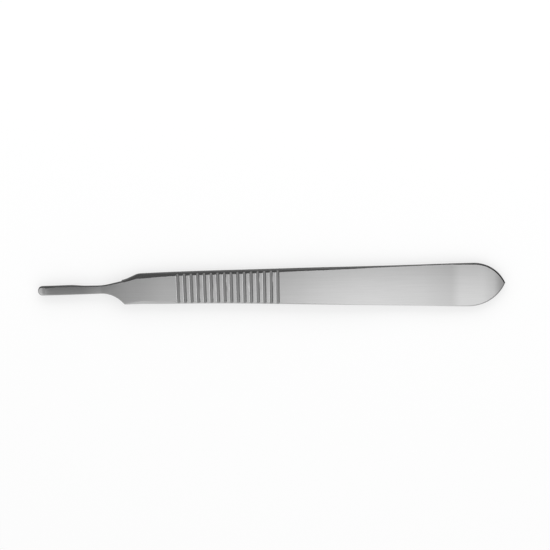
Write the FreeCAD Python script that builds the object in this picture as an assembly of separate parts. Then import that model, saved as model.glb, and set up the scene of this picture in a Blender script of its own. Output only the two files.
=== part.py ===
"""Scalpel handle with the No. 3 blade fitting, forged and ground from one piece of stainless steel.

Frame, in millimetres: +X runs from the blade end to the pointed tail, +Y is the spine edge, and +Z is up.
The handle lies on the face that carries the blade boss, so the plain back of the tang looks up.
The origin is under the middle of the handle, on the surface that it rests on.

Stations are distances along the handle from the tip of the tang, and lengths to the point run from the tail.
Heights are measured from the middle plane of the handle until the last step sets it on its face.
"""

import FreeCAD, Part
import math
import os

# Whole handle
LENGTH = 125.0
GRIP_THICKNESS = 3.5
TAIL_THICKNESS = 1.5
TAIL_SWELL_THICKNESS = 1.64
POINT_THICKNESS = 1.0

# Plan: the spine is the straighter long edge, the belly is the one on the cutting side
TANG_WIDTH = 2.3
TANG_TIP_Y = -0.1
TANG_TIP_DROOP = 0.17
SPINE_TIP_RADIUS = 1.0
BELLY_TIP_RADIUS = 1.1
TIP_FLAT = 0.04
TANG_STRAIGHT_LENGTH = 9.0
NECK_BEND_RADIUS = 40.0
SPINE_NECK_Y = 1.13
SPINE_NECK_RADIUS = 15.0
SPINE_FOOT_STATION = 23.3
SPINE_FOOT_Y = 2.48
SPINE_FOOT_RADIUS = 6.0
SPINE_FOOT_ANGLE = 13.0
SPINE_SHOULDER_STATION = 26.75
SPINE_SHOULDER_Y = 4.13
SPINE_SHOULDER_RADIUS = 4.0
SPINE_BEND_STATION = 45.0
SPINE_BEND_Y = 4.57
SPINE_FLARE_TO_POINT = 41.0
SPINE_FLARE_Y = 5.11
BELLY_NECK_Y = 0.83
BELLY_NECK_RADIUS = 7.5
BELLY_CORNER_STATION = 23.12
BELLY_CORNER_Y = 3.94
BELLY_CORNER_RADIUS = 0.5
BELLY_SLOPE_ANGLE = 47.0
BELLY_BEND_TO_POINT = 78.0
BELLY_BEND_Y = 3.95
BELLY_FLARE_TO_POINT = 50.0
BELLY_FLARE_Y = 4.6
EDGE_BEND_RADIUS = 900.0
TAIL_HALF_WIDTH = 5.85
SPINE_OGIVE_TO_POINT = 8.6
BELLY_OGIVE_TO_POINT = 9.9
POINT_Y = 0.4

# Side view: the two faces mirror each other about the middle plane
TANG_BACK_HEIGHT = 1.2
TIP_END_HEIGHT = 0.4
TIP_SLOPE_LENGTH = 1.2
TIP_SLOPE_RADIUS = 2.8
FRONT_SLOPE_STATION = 17.0
FRONT_SLOPE_LENGTH = 17.0
FRONT_FOOT_RADIUS = 10.0
FRONT_SLOPE_RADIUS = 240.0
TAPER_LENGTH = 35.0
TAPER_END_TO_POINT = 19.5
TAPER_START_RADIUS = 290.0
TAPER_END_RADIUS = 250.0
TAIL_SWELL_TO_POINT = 12.8
TAIL_SWELL_RADIUS = 60.0

# Bevel ground along the long edges of both faces, by how far it reaches in from the sharp corner
TIP_BEVEL = 0.15
TIP_BEVEL_LENGTH = 2.0
TANG_BEVEL = 0.13
SHOULDER_BEVEL = 1.05
SHOULDER_BEVEL_STATION = 27.3
SHOULDER_BEVEL_RISE = 4.8
SHOULDER_BEVEL_FALL = 6.7
GRIP_BEVEL = 0.64
GRIP_BEVEL_FADE = 14.5
TAPER_START_BEVEL = 0.31
TAPER_MIDDLE_BEVEL = 0.13
TAIL_BEVEL = 0.07
POINT_BEVEL = 0.34
POINT_BEVEL_RISE = 5.4
BEVEL_STEP_LENGTH = 6.0
BEVEL_STEP_TURN = 6.0
WASTE = 0.4
OVERRUN = 1.5
TIP_OVERRUN = 0.45

# Grip grooves, across both faces
GROOVE_COUNT = 16
GROOVE_STATION = 37.5
GROOVE_PITCH = 1.775
GROOVE_WIDTH = 0.78
GROOVE_FLOOR_WIDTH = 0.5
GROOVE_DEPTH = 0.42
GROOVE_LIP_WIDTH = 0.12
GROOVE_LIP_DEPTH = 0.06

# Blade fitting: the blade lies on the seat, and the edges of its slot run in the side grooves
SEAT_HEIGHT = 0.2
HEEL_STATION = 21.0
HEEL_ANGLE = 58.0
BOSS_LENGTH = 12.8
BOSS_DEPTH = 1.2
BOSS_ROOT_DEPTH = 0.1
BOSS_REAR_WIDTH = 1.7
BOSS_REAR_LENGTH = 3.6
BOSS_REAR_RADIUS = 0.5
BOSS_REAR_BEND_RADIUS = 12.0
BOSS_WALL_LEAN = 0.5
BOSS_TOP_RADIUS = 0.35
BOSS_NOSE_LENGTH = 1.6
BOSS_NOSE_DEPTH = 0.55
BOSS_NOSE_RADIUS = 2.0
HEAD_THICKNESS = 0.45
SIDE_GROOVE_HEIGHT = 0.5
SIDE_GROOVE_LENGTH = 8.2
SIDE_GROOVE_RUNOUT = 2.4
SIDE_GROOVE_RADIUS = 2.0
WEB_WIDTH = 1.35

UP = FreeCAD.Vector(0, 0, 1)


def plan_point(s, y, z=0.0):
    """Point of the plan view at station s."""
    return FreeCAD.Vector(s - LENGTH / 2, y, z)


def side_point(s, z, y=0.0):
    """Point of the side view at station s."""
    return FreeCAD.Vector(s - LENGTH / 2, y, z)


def rounded_path(corners):
    """Edges of straight runs joined by tangent arcs, from corners given as (point, radius)."""
    edges = []
    start = corners[0][0]
    for (before, _), (corner, radius), (after, _) in zip(corners, corners[1:], corners[2:]):
        backwards = (before - corner).normalize()
        onwards = (after - corner).normalize()
        half_angle = backwards.getAngle(onwards) / 2
        reach = radius / math.tan(half_angle)
        arc_start = corner + backwards * reach
        arc_end = corner + onwards * reach
        inwards = (backwards + onwards).normalize()
        arc_middle = corner + inwards * (radius / math.sin(half_angle) - radius)
        if start.distanceToPoint(arc_start) > 0.001:
            edges.append(Part.makeLine(start, arc_start))
        edges.append(Part.Arc(arc_start, arc_middle, arc_end).toShape())
        start = arc_end
    edges.append(Part.makeLine(start, corners[-1][0]))
    return edges


def tangent_arc(edge, end):
    """Arc that leaves the end of a straight edge without a corner and runs to a point."""
    start = edge.Vertexes[-1].Point
    heading = edge.tangentAt(edge.LastParameter)
    chord = end - start
    turn = heading.getAngle(chord)
    middle_heading = (heading + chord.normalize()).normalize()
    middle = start + middle_heading * (start.distanceToPoint(end) / 2 / math.cos(turn / 2))
    return Part.Arc(start, middle, end).toShape()


def prism(edges, depth):
    """Solid swept by a closed outline along a vector, centred on the outline's plane."""
    face = Part.Face(Part.Wire(Part.__sortEdges__(edges)))
    face.translate(depth * -0.5)
    return face.extrude(depth)


def tang_corners(side, tip_radius):
    """Corners of one half of the tang, with side +1 for the spine and -1 for the belly."""
    half = side * TANG_WIDTH / 2
    corner_y = half - TANG_TIP_DROOP
    largest = abs(corner_y - TANG_TIP_Y) - TIP_FLAT
    return [
        (plan_point(0, TANG_TIP_Y), 0),
        (plan_point(0, corner_y), min(tip_radius, largest)),
        (plan_point(TANG_STRAIGHT_LENGTH, half), NECK_BEND_RADIUS),
    ]


def neck_corner(neck_y, top, slope, radius):
    """Corner where the neck turns into the slope that climbs to a given point."""
    run = abs(top.y - neck_y) / math.tan(math.radians(slope))
    return (FreeCAD.Vector(top.x - run, neck_y, 0), radius)


def spine_path():
    """Spine edge in plan, from the tip of the tang to the point of the tail."""
    foot = plan_point(SPINE_FOOT_STATION, SPINE_FOOT_Y)
    path = rounded_path(tang_corners(1, SPINE_TIP_RADIUS) + [
        neck_corner(SPINE_NECK_Y, foot, SPINE_FOOT_ANGLE, SPINE_NECK_RADIUS),
        (foot, SPINE_FOOT_RADIUS),
        (plan_point(SPINE_SHOULDER_STATION, SPINE_SHOULDER_Y), SPINE_SHOULDER_RADIUS),
        (plan_point(SPINE_BEND_STATION, SPINE_BEND_Y), EDGE_BEND_RADIUS),
        (plan_point(LENGTH - SPINE_FLARE_TO_POINT, SPINE_FLARE_Y), EDGE_BEND_RADIUS),
        (plan_point(LENGTH - SPINE_OGIVE_TO_POINT, TAIL_HALF_WIDTH), 0),
    ])
    return path + [tangent_arc(path[-1], plan_point(LENGTH, POINT_Y))]


def belly_path():
    """Belly edge in plan, from the tip of the tang to the point of the tail."""
    corner = plan_point(BELLY_CORNER_STATION, -BELLY_CORNER_Y)
    path = rounded_path(tang_corners(-1, BELLY_TIP_RADIUS) + [
        neck_corner(-BELLY_NECK_Y, corner, BELLY_SLOPE_ANGLE, BELLY_NECK_RADIUS),
        (corner, BELLY_CORNER_RADIUS),
        (plan_point(LENGTH - BELLY_BEND_TO_POINT, -BELLY_BEND_Y), EDGE_BEND_RADIUS),
        (plan_point(LENGTH - BELLY_FLARE_TO_POINT, -BELLY_FLARE_Y), EDGE_BEND_RADIUS),
        (plan_point(LENGTH - BELLY_OGIVE_TO_POINT, -TAIL_HALF_WIDTH), 0),
    ])
    return path + [tangent_arc(path[-1], plan_point(LENGTH, POINT_Y))]


def belly_corner_arc(belly):
    """Index of the small arc at the belly corner, where the bevels of slope and grip meet in a mitre."""
    radii = [getattr(edge.Curve, "Radius", LENGTH) for edge in belly]
    return radii.index(min(radii))


def face_path():
    """Upper face in side view, from ahead of the tang to beyond the point."""
    grip = GRIP_THICKNESS / 2
    tail = TAIL_THICKNESS / 2
    swell = TAIL_SWELL_THICKNESS / 2
    taper_end = LENGTH - TAPER_END_TO_POINT
    tip_slope = (TANG_BACK_HEIGHT - TIP_END_HEIGHT) / TIP_SLOPE_LENGTH
    beyond = 2 * OVERRUN
    fall = beyond * (swell - POINT_THICKNESS / 2) / TAIL_SWELL_TO_POINT
    return rounded_path([
        (side_point(-TIP_OVERRUN, TIP_END_HEIGHT - TIP_OVERRUN * tip_slope), 0),
        (side_point(TIP_SLOPE_LENGTH, TANG_BACK_HEIGHT), TIP_SLOPE_RADIUS),
        (side_point(FRONT_SLOPE_STATION, TANG_BACK_HEIGHT), FRONT_FOOT_RADIUS),
        (side_point(FRONT_SLOPE_STATION + FRONT_SLOPE_LENGTH / 2, grip), FRONT_SLOPE_RADIUS),
        (side_point(taper_end - TAPER_LENGTH * 3 / 4, grip), TAPER_START_RADIUS),
        (side_point(taper_end - TAPER_LENGTH / 4, tail), TAPER_END_RADIUS),
        (side_point(LENGTH - TAIL_SWELL_TO_POINT, swell), TAIL_SWELL_RADIUS),
        (side_point(LENGTH + beyond, POINT_THICKNESS / 2 - fall), 0),
    ])


def make_blank(outline, upper):
    """Plan outline and side view crossed into one sharp-edged blank."""
    lower = [edge.mirror(FreeCAD.Vector(0, 0, 0), UP) for edge in upper]
    front = upper[0].Vertexes[0].Point
    back = upper[-1].Vertexes[-1].Point
    ends = [Part.makeLine(p, FreeCAD.Vector(p.x, p.y, -p.z)) for p in (front, back)]
    side_view = prism(upper + lower + ends, FreeCAD.Vector(0, 4 * TAIL_HALF_WIDTH, 0))
    plan_view = prism(outline, UP * (2 * GRIP_THICKNESS))
    return plan_view.common(side_view)


def height_above(face, x):
    """Height of the upper face over the middle plane at x."""
    plumb = Part.makeLine(FreeCAD.Vector(x, 0, 0), FreeCAD.Vector(x, 0, 2 * GRIP_THICKNESS))
    return face.distToShape(plumb)[1][0][0].z


def bevel_law():
    """How far the bevel reaches in at each station where that starts to change."""
    taper_end = LENGTH - TAPER_END_TO_POINT
    taper_start = taper_end - TAPER_LENGTH
    ogive = LENGTH - SPINE_OGIVE_TO_POINT
    return [
        (0.0, TIP_BEVEL),
        (TIP_BEVEL_LENGTH, TANG_BEVEL),
        (SHOULDER_BEVEL_STATION - SHOULDER_BEVEL_RISE, TANG_BEVEL),
        (SHOULDER_BEVEL_STATION, SHOULDER_BEVEL),
        (SHOULDER_BEVEL_STATION + SHOULDER_BEVEL_FALL, GRIP_BEVEL),
        (taper_start - GRIP_BEVEL_FADE, GRIP_BEVEL),
        (taper_start, TAPER_START_BEVEL),
        (taper_end - TAPER_LENGTH / 2, TAPER_MIDDLE_BEVEL),
        (taper_end, TAIL_BEVEL),
        (ogive - POINT_BEVEL_RISE, TAIL_BEVEL),
        (ogive, POINT_BEVEL),
        (LENGTH, POINT_BEVEL),
    ]


def bevel_at(x):
    """Reach of the bevel at x, in even steps between the stations of the bevel law."""
    s = min(max(x + LENGTH / 2, 0.0), LENGTH)
    law = bevel_law()
    for (start, first), (end, last) in zip(law, law[1:]):
        if s <= end:
            return first + (last - first) * (s - start) / (end - start)


def waste_section(face, point, outward):
    """Three-cornered outline of the waste outside the bevel, in the plane across the edge at a point."""
    height = height_above(face, point.x)
    across = outward - UP * (height_above(face, point.x - outward.x) - height)
    leg = bevel_at(point.x) + 2 * WASTE
    outside = point + UP * height + (across + UP) * WASTE
    return Part.makePolygon([outside, outside - across * leg, outside - UP * leg, outside])


def path_stops(path, lead_in):
    """Points and headings along a path, run out straight past its end and, on request, ahead of its start."""
    stops = []
    for edge in path:
        turn = edge.tangentAt(edge.FirstParameter).getAngle(edge.tangentAt(edge.LastParameter))
        by_turn = math.ceil(math.degrees(turn) / BEVEL_STEP_TURN)
        count = max(1, by_turn, math.ceil(edge.Length / BEVEL_STEP_LENGTH))
        span = edge.LastParameter - edge.FirstParameter
        for i in range(count):
            at = edge.FirstParameter + span * i / count
            stops.append((edge.valueAt(at), edge.tangentAt(at)))
    last = path[-1]
    end = last.valueAt(last.LastParameter)
    heading = last.tangentAt(last.LastParameter)
    stops += [(end, heading), (end + heading * OVERRUN, heading)]
    if lead_in:
        first, first_heading = stops[0]
        stops.insert(0, (first - first_heading * OVERRUN, first_heading))
    return stops


def edge_waste(face, path, side, lead_in=False):
    """Waste lofted along one long edge of the upper face."""
    sections = []
    for point, heading in path_stops(path, lead_in):
        outward = FreeCAD.Vector(-heading.y, heading.x, 0) * side
        sections.append(waste_section(face, point, outward))
    return Part.makeLoft(sections, True, True)


def both_faces(solids):
    """The solids and their mirror images in the middle plane."""
    return solids + [solid.mirror(FreeCAD.Vector(0, 0, 0), UP) for solid in solids]


def grip_groove(index):
    """Cutter of one flat-floored groove with eased lips, across the upper face."""
    s = GROOVE_STATION + GROOVE_PITCH * index
    top = GRIP_THICKNESS / 2
    half_profile = [
        (GROOVE_FLOOR_WIDTH / 2, top - GROOVE_DEPTH),
        (GROOVE_WIDTH / 2, top - GROOVE_LIP_DEPTH),
        (GROOVE_WIDTH / 2 + GROOVE_LIP_WIDTH, top),
        (GROOVE_WIDTH / 2 + GROOVE_LIP_WIDTH, top + WASTE),
    ]
    rear = [side_point(s + across, z) for across, z in half_profile]
    front = [side_point(s - across, z) for across, z in reversed(half_profile)]
    rim = Part.makePolygon(rear + front + rear[:1])
    return prism(rim.Edges, FreeCAD.Vector(0, 4 * TAIL_HALF_WIDTH, 0))


def seat_pocket():
    """Everything under the blade's seat, as far back as the slanting wall behind the blade's heel."""
    far = 2 * TAIL_HALF_WIDTH
    slant = far / math.tan(math.radians(HEEL_ANGLE))
    low = SEAT_HEIGHT - 2 * GRIP_THICKNESS
    corners = [
        plan_point(-far, -far, low),
        plan_point(HEEL_STATION - slant, -far, low),
        plan_point(HEEL_STATION + slant, far, low),
        plan_point(-far, far, low),
    ]
    face = Part.Face(Part.makePolygon(corners + corners[:1]))
    return face.extrude(UP * (SEAT_HEIGHT - low))


def boss_profile():
    """Side view of the boss: a thin nose, a long ramp and a steep rear wall."""
    root = SEAT_HEIGHT + BOSS_ROOT_DEPTH
    head = SEAT_HEIGHT - SIDE_GROOVE_HEIGHT - HEAD_THICKNESS
    nose = side_point(-BOSS_NOSE_LENGTH, SEAT_HEIGHT - BOSS_NOSE_DEPTH)
    path = rounded_path([
        (nose, 0),
        (side_point(BOSS_NOSE_LENGTH, head), BOSS_NOSE_RADIUS),
        (side_point(BOSS_LENGTH - BOSS_WALL_LEAN, SEAT_HEIGHT - BOSS_DEPTH), BOSS_TOP_RADIUS),
        (side_point(BOSS_LENGTH, root), 0),
    ])
    front_top = side_point(-BOSS_NOSE_LENGTH, SEAT_HEIGHT)
    rear_top = path[-1].Vertexes[-1].Point
    return path + [Part.makeLine(rear_top, front_top), Part.makeLine(front_top, nose)]


def boss_plan():
    """Plan of the boss: parallel flanks that draw in to a narrower, round-cornered rear end."""
    corners = []
    for side in (1, -1):
        bend = (plan_point(BOSS_LENGTH - BOSS_REAR_LENGTH, side * TANG_WIDTH / 2), BOSS_REAR_BEND_RADIUS)
        rear = (plan_point(BOSS_LENGTH, side * BOSS_REAR_WIDTH / 2), BOSS_REAR_RADIUS)
        front = (plan_point(-TANG_WIDTH, side * TANG_WIDTH / 2), 0)
        half = [front, bend, rear]
        corners += half if side > 0 else reversed(half)
    path = rounded_path(corners)
    return path + [Part.makeLine(path[-1].Vertexes[-1].Point, path[0].Vertexes[0].Point)]


def side_groove(side):
    """Groove along one flank of the boss, which runs out towards the rear."""
    middle = SEAT_HEIGHT - SIDE_GROOVE_HEIGHT / 2
    web = side * WEB_WIDTH / 2
    outside = side * TANG_WIDTH
    path = rounded_path([
        (plan_point(-TANG_WIDTH, web, middle), 0),
        (plan_point(SIDE_GROOVE_LENGTH, web, middle), SIDE_GROOVE_RADIUS),
        (plan_point(SIDE_GROOVE_LENGTH + SIDE_GROOVE_RUNOUT, outside, middle), 0),
    ])
    front = plan_point(-TANG_WIDTH, outside, middle)
    rear = path[-1].Vertexes[-1].Point
    closing = [Part.makeLine(rear, front), Part.makeLine(front, path[0].Vertexes[0].Point)]
    return prism(path + closing, UP * SIDE_GROOVE_HEIGHT)


def make_boss(outline):
    """Boss that holds the blade, as wide as the tang up to its rear, with a groove along each flank."""
    flanks = prism(outline, UP * (2 * GRIP_THICKNESS))
    body = flanks.common(prism(boss_plan(), UP * (2 * GRIP_THICKNESS)))
    body = body.common(prism(boss_profile(), FreeCAD.Vector(0, 4 * TANG_WIDTH, 0)))
    return body.cut([side_groove(1), side_groove(-1)])


def make_handle():
    """The whole handle, lying on the flat of its grip."""
    spine = spine_path()
    belly = belly_path()
    upper = face_path()
    face = Part.Wire(Part.__sortEdges__(upper))
    corner = belly_corner_arc(belly)
    waste = [
        edge_waste(face, spine, 1),
        edge_waste(face, belly[:corner], -1),
        edge_waste(face, belly[corner + 1:], -1, lead_in=True),
    ]
    handle = make_blank(spine + belly, upper).cut(both_faces(waste))
    handle = handle.cut(both_faces([grip_groove(i) for i in range(GROOVE_COUNT)]))
    handle = handle.cut(seat_pocket()).fuse(make_boss(spine + belly))
    handle.translate(UP * (GRIP_THICKNESS / 2))
    return handle.removeSplitter().Solids[0]


os.makedirs("parts", exist_ok=True)
make_handle().exportStep("parts/handle.step")
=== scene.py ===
"""Scalpel handle in satin stainless steel, lying on a pale sweep and seen from nearly above.

The frame is loaded first. Lengths are in metres in the frame's own axes, unless a comment says mm.
+X runs from the blade end to the pointed tail, +Y is the spine edge and +Z is up.
Stations are distances along the handle from the tip of the tang.
"""

import math

import bmesh
import bpy
from bpy.props import FloatProperty, FloatVectorProperty, PointerProperty
from mathutils import Matrix, Vector


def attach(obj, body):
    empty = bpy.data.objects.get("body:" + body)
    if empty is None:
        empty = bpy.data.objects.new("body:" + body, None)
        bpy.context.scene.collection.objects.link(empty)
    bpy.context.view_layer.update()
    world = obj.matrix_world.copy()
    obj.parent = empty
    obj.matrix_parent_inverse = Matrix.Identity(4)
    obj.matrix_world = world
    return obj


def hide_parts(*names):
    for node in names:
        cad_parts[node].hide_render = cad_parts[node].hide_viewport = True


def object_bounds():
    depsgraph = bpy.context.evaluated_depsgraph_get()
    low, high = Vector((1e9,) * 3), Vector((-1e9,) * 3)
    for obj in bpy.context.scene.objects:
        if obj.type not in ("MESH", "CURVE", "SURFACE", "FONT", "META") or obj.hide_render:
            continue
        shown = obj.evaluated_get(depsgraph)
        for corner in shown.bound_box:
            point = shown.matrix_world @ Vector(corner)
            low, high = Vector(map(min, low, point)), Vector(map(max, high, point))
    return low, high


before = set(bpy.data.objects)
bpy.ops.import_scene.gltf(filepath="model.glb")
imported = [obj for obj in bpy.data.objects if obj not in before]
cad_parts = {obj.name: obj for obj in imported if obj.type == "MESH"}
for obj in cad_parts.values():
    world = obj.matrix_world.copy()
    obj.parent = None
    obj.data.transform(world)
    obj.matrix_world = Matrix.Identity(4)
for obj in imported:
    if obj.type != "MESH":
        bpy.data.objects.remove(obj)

MM = 0.001
CAD_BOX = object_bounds()
TIP_X = CAD_BOX[0].x
MIDDLE_Z = (CAD_BOX[0].z + CAD_BOX[1].z) / 2
PHOTO_PIXELS = 550

# Side view of the solid, in mm: (station, height over the middle plane, radius of the bend there)
SIDE_VIEW = (
    (-0.45, 0.1, 0.0),
    (1.2, 1.2, 2.8),
    (17.0, 1.2, 10.0),
    (25.5, 1.75, 240.0),
    (79.25, 1.75, 290.0),
    (96.75, 0.75, 250.0),
    (112.2, 0.82, 60.0),
    (128.0, 0.425, 0.0),
)

# Stations between which the grooves lie, and where the blade fitting and the tang end, in mm
GROOVES_START = 36.8
GROOVES_END = 64.9
FITTING_END = 23.0
TANG_END = 21.0

# Length over which the tang's crown fades before its end, in mm
TANG_BLEND = 4.0

# Height of the blade's seat over the middle plane, in mm
SEAT_HEIGHT = 0.2

# How bright the brushed faces are along the handle: (station in mm, share of their colour). The shares
# include painted light: a painted highlight on the tip, a painted dark band where the face bends towards the
# point, and painted shade on the point
BRUSHED_TONE_AND_PAINTED_LIGHT = (
    (0.3, 0.8), (0.9, 1.2), (2.2, 0.66),  # painted highlight on the tip
    (3.4, 0.53), (12.0, 0.53),  # darker tang
    (19.0, 0.86), (24.5, 0.97), (64.9, 0.93),  # neck and grooves
    (72.0, 1.0), (103.0, 1.0),  # clean faces behind the grooves
    (110.6, 0.89), (112.8, 1.0),  # painted dark band where the face bends towards the point
    (119.0, 0.98), (122.0, 0.83), (123.6, 0.55), (125.0, 0.4),  # painted shade on the point
)

# The same for the bevels and the walls, where the shares paint shade: on the rim of the tip, at the neck and
# on the point
EDGE_PAINTED_SHADE = (
    (0.0, 0.3), (0.5, 0.45), (1.3, 1.0),  # painted shade on the rim of the tip
    (10.0, 1.0), (14.0, 0.75), (21.0, 0.75), (25.0, 1.0),  # painted shade at the neck
    (116.0, 1.0), (120.0, 0.75), (123.5, 0.4),  # painted shade on the point
)

# Material slots of the handle, in order
BRUSHED, MILLED, POLISHED, BURNISHED = range(4)

# Least or most sizes of the normal's parts by which a face is told from its neighbours
ACROSS_MOST_Y = 0.5
LIP_LEAST_X = 0.3
BEVEL_MOST_Z = 0.9
BEVEL_LEAST_Y = 0.2
TIP_END_LEAST_X = 0.65

# How far a milled face lies under the broad face at least, and over the seat at most, in mm
SKIN = 0.05

# How near to the broad face a point counts as on it, in mm
ON_FACE = 0.03

# Distances under which points merge, and the turn under which two triangles are one flat face
WELD = 0.002 * MM
CUT_WELD = 0.0005 * MM
FLAT_TURN = math.radians(0.02)

# Middle of each softbox, which looks straight down
KEY_PLACE = (0.55, -0.68, 0.79)
FILL_PLACE = (0.0, 0.95, 0.45)

# How far the cards reach, and the height and the near edges of the two overhead
CARD_REACH = 1.4
OVERHEAD = 0.8
LEFT_CARD_EDGE = -0.03
LEFT_CARD_FRONT = -0.45
BACK_CARD_FRONT = -0.08

# Front and height of the card that lies behind, and the place and the top of the one that stands at its end
LYING_CARD_FRONT = 0.0
LYING_CARD_HEIGHT = 0.05 * MM
STANDING_CARD_Y = 0.25
STANDING_CARD_TOP = 0.10

bl_info = {
    "name": "Scalpel handle",
    "version": (1, 0, 0),
    "blender": (4, 5, 0),
    "location": "3D View > Sidebar > Scalpel",
    "description": "Finishes the handle's solid as ground and brushed steel and sets it in a plain studio",
    "category": "Object",
}


def linear(hex_colour):
    """Linear RGBA of an sRGB colour written as six hexadecimal digits."""
    levels = [int(hex_colour[i:i + 2], 16) / 255 for i in (0, 2, 4)]
    return [v / 12.92 if v <= 0.04045 else ((v + 0.055) / 1.055) ** 2.4 for v in levels] + [1.0]


def length(name, description, default):
    """Length property in metres."""
    return FloatProperty(name=name, description=description, default=default, unit="LENGTH", precision=5)


def angle(name, description, degrees):
    """Angle property, whose default is given in degrees."""
    return FloatProperty(name=name, description=description, default=math.radians(degrees), unit="ROTATION")


def power(name, description, default):
    """Lamp power property in watts."""
    return FloatProperty(name=name, description=description, default=default, unit="POWER")


def colour(name, description, hex_colour):
    """Colour property, whose default is given as an sRGB hex value."""
    return FloatVectorProperty(
        name=name, description=description, default=linear(hex_colour), subtype="COLOR", size=4, min=0, max=1)


def plain(name, description, default):
    """Property for a plain number."""
    return FloatProperty(name=name, description=description, default=default)


class SCALPEL_PG_handle(bpy.types.PropertyGroup):
    slice_length: length("Slice length", "Distance between the cuts across the handle", 1 * MM)
    strip_width: length("Strip width", "Distance between the cuts along the handle", 1 * MM)
    grip_crown: length("Grip crown radius", "Radius that the belt leaves across the broad faces", 140 * MM)
    tang_crown: length("Tang crown radius", "Radius across the back of the tang", 7 * MM)
    groove_lean: angle("Groove lean", "How far the first groove leans; the last one hardly does", 1.8)
    crisp_angle: angle("Crisp angle", "Edges that turn by more than this stay crisp", 22)
    steel: colour("Satin steel", "Colour of the brushed faces", "D0D0D0")
    # The milled colour is darker than the brushed steel partly for the cutter's dull finish and partly as
    # painted shade down in the grooves
    milled: colour("Milled steel", "Colour of the grooves and the seat, as the cutter left them", "9F9F9F")
    # The polished colour is set darker than the brushed steel, as painted shade on the bevels and walls
    edge: colour("Polished steel", "Colour of the bevels and of the walls round the outline", "B4B4B4")
    lip: colour("Burnished steel", "Colour of the narrow lips along the grooves", "D2D2D2")
    milled_end: length("Milled end", "Station where the dull finish starts to fade", 12.5 * MM)
    satin_start: length("Satin start", "Station where the satin finish is full", 28 * MM)
    satin_roughness: plain("Satin roughness", "Roughness of the brushed faces", 0.30)
    polish_roughness: plain("Polish roughness", "Roughness of the bevels and the lips", 0.14)
    milled_roughness: plain("Milled roughness", "Roughness of the tang and the grooves", 0.36)
    grain_length: length("Grain length", "Length of a brush mark", 14 * MM)
    grain_width: length("Grain width", "Distance between marks, drawn coarser than real ones", 0.3 * MM)
    cutter_length: length("Cutter mark length", "Length of a cutter mark across the handle", 5 * MM)


class SCALPEL_PG_studio(bpy.types.PropertyGroup):
    floor: colour("Sweep", "Colour of the paper sweep", "A2A2A2")
    sweep_size: length("Sweep size", "Side of the paper sweep", 6.0)
    floor_glow: plain("Sweep glow", "Light that the backlit paper adds of its own", 0.58)
    camera_distance: length("Camera distance", "From the middle of the handle", 0.9)
    camera_tilt: angle("Camera tilt", "How far the camera leans from straight above to the spine", 11)
    camera_roll: angle("Camera roll", "How far the handle rises to the right in the picture", 0.77)
    pixels_per_metre: plain("Picture scale", "Pixels to the metre at the middle of the handle", 3736.0)
    handle_pixel_x: plain("Handle across", "Middle of the handle in the picture, from the left", 271.7)
    handle_pixel_y: plain("Handle down", "Middle of the handle in the picture, from the top", 287.2)
    softbox_size: length("Softbox size", "Side of each softbox", 1.2)
    key_power: power("Key power", "Power of the softbox over the tail end", 1.85)
    key_on_paper: plain("Key on the paper", "Share of the key's light that the paper takes", 0.15)
    fill_power: power("Fill power", "Power of the softbox behind the spine", 8.0)
    room_strength: plain("Room strength", "Brightness of the even light from all round", 0.85)
    grey_card: plain("Grey cards", "Brightness of the cards overhead, to the left and the back", 0.33)
    black_card: plain("Standing card", "Brightness of the card that stands behind the spine", 0.14)
    dark_card: plain("Lying card", "Brightness of the card that lies behind the spine", 0.18)


def add_node(tree, kind, links=(), **settings):
    """Adds a node, with its settings and socket values by name, and links given as (input, output socket)."""
    node = tree.nodes.new(kind)
    for name, value in settings.items():
        if hasattr(node, name):
            setattr(node, name, value)
        else:
            node.inputs[name.replace("_", " ")].default_value = value
    for socket, source in links:
        tree.links.new(source, node.inputs[socket])
    return node


def new_material(name):
    """Empty node material and its tree."""
    material = bpy.data.materials.new(name)
    material.use_nodes = True
    material.node_tree.nodes.clear()
    return material, material.node_tree


def tool_marks(tree, place, mark, strength):
    """Factor that varies from mark to mark, with the size of a mark along the three axes."""
    scale = tuple(1 / size for size in mark)
    placed = add_node(tree, "ShaderNodeMapping", [("Vector", place)], Scale=scale)
    noise = add_node(tree, "ShaderNodeTexNoise", [("Vector", placed.outputs[0])], Scale=1.0, Detail=3.0)
    factor = add_node(
        tree, "ShaderNodeMapRange", [("Value", noise.outputs[0])], To_Min=1 - strength, To_Max=1 + strength)
    return factor.outputs[0]


def tone_along(tree, place, tones):
    """Grey that follows the shares given for stations along the handle."""
    low, high = CAD_BOX
    axes = add_node(tree, "ShaderNodeSeparateXYZ", [("Vector", place)])
    reach = add_node(
        tree, "ShaderNodeMapRange", [("Value", axes.outputs["X"])], From_Min=low.x, From_Max=high.x)
    ramp = add_node(tree, "ShaderNodeValToRGB", [("Fac", reach.outputs[0])])
    stops = ramp.color_ramp.elements
    spots = [station * MM / (high.x - low.x) for station, _ in tones]
    stops.remove(stops[1])
    stops[0].position = spots[0]
    for spot in spots[1:]:
        stops.new(spot)
    for stop, (_, share) in zip(stops, tones):
        stop.color = (share, share, share, 1)
    return ramp.outputs[0]


def steel(name, tint, roughness, mark, strength, tones=()):
    """Stainless steel of one colour, with tool marks of a given size and strength, toned along the handle."""
    material, tree = new_material(name)
    place = add_node(tree, "ShaderNodeTexCoord").outputs["Object"]
    shade = tool_marks(tree, place, mark, strength)
    if tones:
        tone = tone_along(tree, place, tones)
        toned = add_node(tree, "ShaderNodeVectorMath", [(0, shade), (1, tone)], operation="MULTIPLY")
        shade = toned.outputs[0]
    tinted = add_node(tree, "ShaderNodeVectorMath", [(0, shade)], operation="MULTIPLY")
    tinted.inputs[1].default_value = tuple(tint)[:3]
    shader = add_node(
        tree, "ShaderNodeBsdfPrincipled", [("Base Color", tinted.outputs[0])],
        Metallic=1.0, Roughness=roughness)
    add_node(tree, "ShaderNodeOutputMaterial", [("Surface", shader.outputs[0])])
    return material


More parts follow.
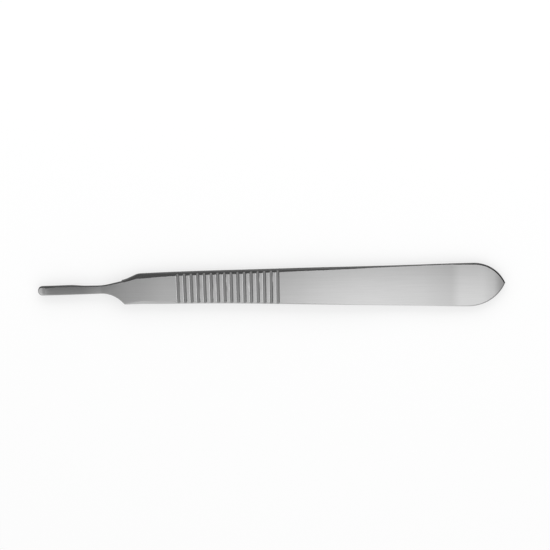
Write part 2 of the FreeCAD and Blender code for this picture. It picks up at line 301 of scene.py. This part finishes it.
def belt_mark(look):
    """Size of a mark that the grinding belt leaves along the handle."""
    return look.grain_length, look.grain_width, look.grain_width


def cutter_mark(look):
    """Size of a mark that the cutter leaves across the handle."""
    return look.grain_width, look.cutter_length, look.grain_width


def satin_steel(look):
    """Steel ground on a belt along its length: fine soft streaks, from the rougher, darker tang to the bright
    grip, with a painted highlight on the tip, a painted dark band and painted shade on the point.
    """
    material = steel(
        "Brushed stainless steel", look.steel, look.satin_roughness, belt_mark(look),
        strength=0.06, tones=BRUSHED_TONE_AND_PAINTED_LIGHT)
    tree = material.node_tree
    place = tree.nodes["Texture Coordinate"].outputs["Object"]
    axes = add_node(tree, "ShaderNodeSeparateXYZ", [("Vector", place)])
    rough = add_node(
        tree, "ShaderNodeMapRange", [("Value", axes.outputs["X"])], interpolation_type="SMOOTHSTEP",
        From_Min=TIP_X + look.milled_end, From_Max=TIP_X + look.satin_start,
        To_Min=look.milled_roughness, To_Max=look.satin_roughness)
    tree.links.new(rough.outputs[0], tree.nodes["Principled BSDF"].inputs["Roughness"])
    return material


def milled_steel(look):
    """Steel left as the cutter made it: dull, with marks that run across the handle down each groove, and a
    darker colour that also paints the shade down in the grooves.
    """
    return steel(
        "Milled stainless steel", look.milled, look.milled_roughness, cutter_mark(look), strength=0.18)


def polished_steel(look):
    """Steel of the bevels and walls: smooth enough to show the dark and the bright of the room beside it,
    with painted shade on the rim of the tip, at the neck and on the point, and a colour darker than the
    brushed faces that paints part of their shade.
    """
    return steel(
        "Polished stainless steel", look.edge, look.polish_roughness, belt_mark(look),
        strength=0.03, tones=EDGE_PAINTED_SHADE)


def burnished_steel(look):
    """Steel of the lips along the grooves, which catch the key as thin bright lines."""
    return steel(
        "Burnished stainless steel", look.lip, look.polish_roughness, cutter_mark(look), strength=0.1)


def on_bend(station, before, corner, after):
    """Height on the arc that rounds a corner of the side view, or None where the station is off the arc."""
    (s0, z0, _), (s1, z1, radius), (s2, z2, _) = before, corner, after
    climb_in = math.atan2(z1 - z0, s1 - s0)
    climb_out = math.atan2(z2 - z1, s2 - s1)
    reach = radius * math.tan(abs(climb_out - climb_in) / 2)
    start = s1 - reach * math.cos(climb_in)
    end = s1 + reach * math.cos(climb_out)
    if not start < station < end:
        return None
    side = math.copysign(radius, climb_out - climb_in)
    centre_s = start - side * math.sin(climb_in)
    centre_z = z1 - reach * math.sin(climb_in) + side * math.cos(climb_in)
    return centre_z - math.copysign(math.sqrt(radius ** 2 - (station - centre_s) ** 2), side)


def face_height(station):
    """Height of the broad face over the middle plane, in mm: straight runs joined by tangent arcs."""
    for before, corner, after in zip(SIDE_VIEW, SIDE_VIEW[1:], SIDE_VIEW[2:]):
        height = on_bend(station, before, corner, after)
        if height is not None:
            return height
    for (s0, z0, _), (s1, z1, _) in zip(SIDE_VIEW, SIDE_VIEW[1:]):
        if s0 <= station <= s1:
            return z0 + (z1 - z0) * (station - s0) / (s1 - s0)


def merged_copy(node):
    """The CAD node's mesh as a bmesh, with its triangles joined into the flat faces that they fill."""
    bm = bmesh.new()
    bm.from_mesh(node.data)
    bmesh.ops.remove_doubles(bm, verts=bm.verts, dist=WELD)
    bmesh.ops.dissolve_limit(
        bm, angle_limit=FLAT_TURN, use_dissolve_boundaries=False, verts=bm.verts, edges=bm.edges)
    return bm


def slice_across(bm, axis, step, low, high):
    """Cuts every face along planes that stand across an axis at even steps."""
    for i in range(1, math.ceil((high - low) / step)):
        everything = bm.verts[:] + bm.edges[:] + bm.faces[:]
        bmesh.ops.bisect_plane(
            bm, geom=everything, dist=CUT_WELD, plane_co=axis * (low + step * i), plane_no=axis)


def finish_of(face):
    """Material slot of a face, by where it lies and which way it looks."""
    centre = face.calc_center_median()
    station = (centre.x - TIP_X) / MM
    height = (centre.z - MIDDLE_Z) / MM
    lean_x, lean_y, lean_z = [abs(part) for part in face.normal]
    if lean_y < ACROSS_MOST_Y and GROOVES_START < station < GROOVES_END:
        if abs(height) < face_height(station) - SKIN:
            return MILLED
        return BURNISHED if lean_x > LIP_LEAST_X else BRUSHED
    if lean_y < ACROSS_MOST_Y and station < FITTING_END and height < SEAT_HEIGHT + SKIN:
        return MILLED
    on_edge = lean_y > BEVEL_LEAST_Y or lean_x > TIP_END_LEAST_X
    return POLISHED if lean_z < BEVEL_MOST_Z and on_edge else BRUSHED


def crowned(station, y, height, look):
    """Height of a point once the faces are crowned: the tang on its back only, the rest on both faces."""
    on_tang = min(max((TANG_END - station) / TANG_BLEND, 0.0), 1.0)
    base = SEAT_HEIGHT if station < TANG_END else 0.0
    if station < TANG_END and height < base:
        return height
    bend = (1 - on_tang) / look.grip_crown + on_tang / look.tang_crown
    drop = y * y * bend / 2 / MM
    above = abs(height) - base
    return math.copysign(abs(height) - drop * above / (face_height(station) - base), height)


def settle_on_curves(bm, look):
    """Moves the points from the chords onto the ground curves, crowns the faces and leans the grooves."""
    for vert in bm.verts:
        station = (vert.co.x - TIP_X) / MM
        if GROOVES_START < station < GROOVES_END:
            share = (GROOVES_END - station) / (GROOVES_END - GROOVES_START)
            vert.co.x -= vert.co.y * math.tan(look.groove_lean) * share
        height = (vert.co.z - MIDDLE_Z) / MM
        ground = face_height(station)
        if abs(abs(height) - ground) < ON_FACE:
            height = math.copysign(ground, height)
        vert.co.z = MIDDLE_Z + crowned(station, vert.co.y, height, look) * MM


def new_object(name, data):
    """Object that holds a mesh, a lamp or a camera, in the scene's own collection."""
    thing = bpy.data.objects.new(name, data)
    bpy.context.scene.collection.objects.link(thing)
    return thing


def finished_mesh(name, bm, *materials):
    """Mesh of what a bmesh holds, with its materials in order."""
    mesh = bpy.data.meshes.new(name)
    bm.to_mesh(mesh)
    bm.free()
    for material in materials:
        mesh.materials.append(material)
    return mesh


class SCALPEL_OT_handle(bpy.types.Operator):
    """Copy the handle's solid, cut it finely, settle it on its ground curves and give it its steel"""
    bl_idname = "scalpel.handle"
    bl_label = "Handle"

    def execute(self, context):
        look = context.scene.scalpel_handle
        low, high = CAD_BOX
        bm = merged_copy(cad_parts["handle"])
        slice_across(bm, Vector((1, 0, 0)), look.slice_length, low.x, high.x)
        slice_across(bm, Vector((0, 1, 0)), look.strip_width, low.y, high.y)
        for face in bm.faces:
            face.smooth = True
            face.material_index = finish_of(face)
        settle_on_curves(bm, look)
        bm.normal_update()
        for edge in bm.edges:
            edge.smooth = len(edge.link_faces) == 2 and edge.calc_face_angle() < look.crisp_angle
        steels = satin_steel(look), milled_steel(look), polished_steel(look), burnished_steel(look)
        mesh = finished_mesh("handle_steel", bm, *steels)
        piece = new_object("handle_steel", mesh)
        normals = piece.modifiers.new("Flat faces stay flat", "WEIGHTED_NORMAL")
        normals.keep_sharp = True
        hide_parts("handle")
        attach(piece, "root")
        return {"FINISHED"}


def sweep_paper(studio):
    """Matt white paper: it keeps the handle's soft shadow and shows white to the eye and in the steel."""
    material, tree = new_material("Matt paper sweep")
    path = add_node(tree, "ShaderNodeLightPath")
    seen = add_node(
        tree, "ShaderNodeMath",
        [(0, path.outputs["Is Camera Ray"]), (1, path.outputs["Is Glossy Ray"])], operation="ADD")
    shown = add_node(
        tree, "ShaderNodeMath",
        [(0, seen.outputs[0]), (1, path.outputs["Is Transmission Ray"])], operation="ADD", use_clamp=True)
    strength = add_node(tree, "ShaderNodeMath", [(0, shown.outputs[0])], operation="MULTIPLY")
    strength.inputs[1].default_value = studio.floor_glow
    glow = add_node(tree, "ShaderNodeEmission", [("Strength", strength.outputs[0])])
    matt = add_node(tree, "ShaderNodeBsdfDiffuse", Color=studio.floor)
    both = add_node(tree, "ShaderNodeAddShader", [(0, matt.outputs[0]), (1, glow.outputs[0])])
    add_node(tree, "ShaderNodeOutputMaterial", [("Surface", both.outputs[0])])
    return material


def add_sweep(studio):
    """Level sheet of paper that the handle lies on."""
    bm = bmesh.new()
    bmesh.ops.create_grid(bm, x_segments=1, y_segments=1, size=studio.sweep_size / 2)
    mesh = finished_mesh("paper_sweep", bm, sweep_paper(studio))
    new_object("paper_sweep", mesh)


def card_stock(name, level):
    """Even card of one brightness, as a lit card looks in the steel."""
    material, tree = new_material(name)
    lit = add_node(tree, "ShaderNodeEmission", Strength=level)
    add_node(tree, "ShaderNodeOutputMaterial", [("Surface", lit.outputs[0])])
    return material


def add_card(name, corners, level):
    """Card seen only by reflections, which shades the steel as a card beside a real set does."""
    bm = bmesh.new()
    bm.faces.new([bm.verts.new(corner) for corner in corners])
    mesh = finished_mesh(name, bm, card_stock(name, level))
    card = new_object(name, mesh)
    card.visible_camera = False
    card.visible_diffuse = False
    card.visible_shadow = False
    card.visible_transmission = False


def level_card(left, right, front, back, z):
    """Corners of a card that lies level."""
    return (left, front, z), (right, front, z), (right, back, z), (left, back, z)


def add_cards(studio):
    """Grey cards overhead, to the left and the back, and dark ones that lie and stand behind the handle."""
    far = CARD_REACH
    left = level_card(-far, LEFT_CARD_EDGE, LEFT_CARD_FRONT, far, OVERHEAD)
    back = level_card(LEFT_CARD_EDGE, far, BACK_CARD_FRONT, far, OVERHEAD)
    y, low, top = STANDING_CARD_Y, LYING_CARD_HEIGHT, STANDING_CARD_TOP
    lying = level_card(-far, far, LYING_CARD_FRONT, y, low)
    standing = (-far, y, low), (far, y, low), (far, y, top), (-far, y, top)
    add_card("grey_card_left", left, studio.grey_card)
    add_card("grey_card_back", back, studio.grey_card)
    add_card("black_card_flat", lying, studio.dark_card)
    add_card("black_card_stand", standing, studio.black_card)


def add_softbox(name, size, watts, place):
    """Large square softbox that looks straight down."""
    lamp = bpy.data.lights.new(name, "AREA")
    lamp.size = size
    lamp.energy = watts
    box = new_object(name, lamp)
    box.location = place
    return box


def add_lights(studio):
    """Key over the tail end and the belly side, and a fill behind the spine that only the paper takes."""
    key = add_softbox("key_softbox", studio.softbox_size, studio.key_power, KEY_PLACE)
    key.data.diffuse_factor = studio.key_on_paper
    fill = add_softbox("fill_softbox", studio.softbox_size, studio.fill_power, FILL_PLACE)
    fill.visible_glossy = False


def add_room(studio):
    """Even light from all round."""
    world = bpy.data.worlds.new("room")
    world.use_nodes = True
    background = world.node_tree.nodes["Background"]
    background.inputs["Color"].default_value = (1, 1, 1, 1)
    background.inputs["Strength"].default_value = studio.room_strength
    bpy.context.scene.world = world


def add_camera(studio):
    """Camera that looks down past the spine edge, level with the photograph's own view."""
    lens = bpy.data.cameras.new("camera")
    picture_width = PHOTO_PIXELS / studio.pixels_per_metre
    lens.lens = lens.sensor_width * studio.camera_distance / picture_width
    lens.clip_start = 0.01
    lens.clip_end = 20
    tilt = studio.camera_tilt
    roll = studio.camera_roll
    back = Vector((0, math.sin(tilt), math.cos(tilt)))
    level = Vector((1, 0, 0))
    upright = back.cross(level)
    right = level * math.cos(roll) - upright * math.sin(roll)
    up = level * math.sin(roll) + upright * math.cos(roll)
    across = (PHOTO_PIXELS / 2 - studio.handle_pixel_x) / studio.pixels_per_metre
    above = (studio.handle_pixel_y - PHOTO_PIXELS / 2) / studio.pixels_per_metre
    middle = Vector((0, 0, MIDDLE_Z))
    place = middle + right * across + up * above + back * studio.camera_distance
    turn = Matrix((right, up, back)).transposed().to_4x4()
    camera = new_object("camera", lens)
    camera.matrix_world = Matrix.Translation(place) @ turn
    bpy.context.scene.camera = camera


class SCALPEL_OT_studio(bpy.types.Operator):
    """Lay the paper sweep and set the lights, the cards and the camera"""
    bl_idname = "scalpel.studio"
    bl_label = "Studio"

    def execute(self, context):
        studio = context.scene.scalpel_studio
        add_sweep(studio)
        add_cards(studio)
        add_lights(studio)
        add_room(studio)
        add_camera(studio)
        context.scene.view_settings.view_transform = "Standard"
        return {"FINISHED"}


class SCALPEL_PT_panel(bpy.types.Panel):
    """Lists the steps and their sizes in the sidebar"""
    bl_idname = "SCALPEL_PT_panel"
    bl_label = "Scalpel handle"
    bl_space_type = "VIEW_3D"
    bl_region_type = "UI"
    bl_category = "Scalpel"

    def draw(self, context):
        for operator, group in STEPS:
            box = self.layout.box()
            box.operator(operator.bl_idname)
            settings = getattr(context.scene, group)
            for name in settings.bl_rna.properties.keys():
                if name not in ("rna_type", "name"):
                    box.prop(settings, name)


STEPS = ((SCALPEL_OT_handle, "scalpel_handle"), (SCALPEL_OT_studio, "scalpel_studio"))
CLASSES = (SCALPEL_PG_handle, SCALPEL_PG_studio, SCALPEL_OT_handle, SCALPEL_OT_studio, SCALPEL_PT_panel)


def register():
    """Registers the classes and hangs the settings on the scene."""
    for cls in CLASSES:
        bpy.utils.register_class(cls)
    bpy.types.Scene.scalpel_handle = PointerProperty(type=SCALPEL_PG_handle)
    bpy.types.Scene.scalpel_studio = PointerProperty(type=SCALPEL_PG_studio)


def unregister():
    """Takes away what register added."""
    del bpy.types.Scene.scalpel_studio
    del bpy.types.Scene.scalpel_handle
    for cls in reversed(CLASSES):
        bpy.utils.unregister_class(cls)


def main():
    """Makes the scene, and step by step."""
    register()
    bpy.ops.scalpel.handle()
    bpy.ops.scalpel.studio()


if __name__ == "__main__":
    main()
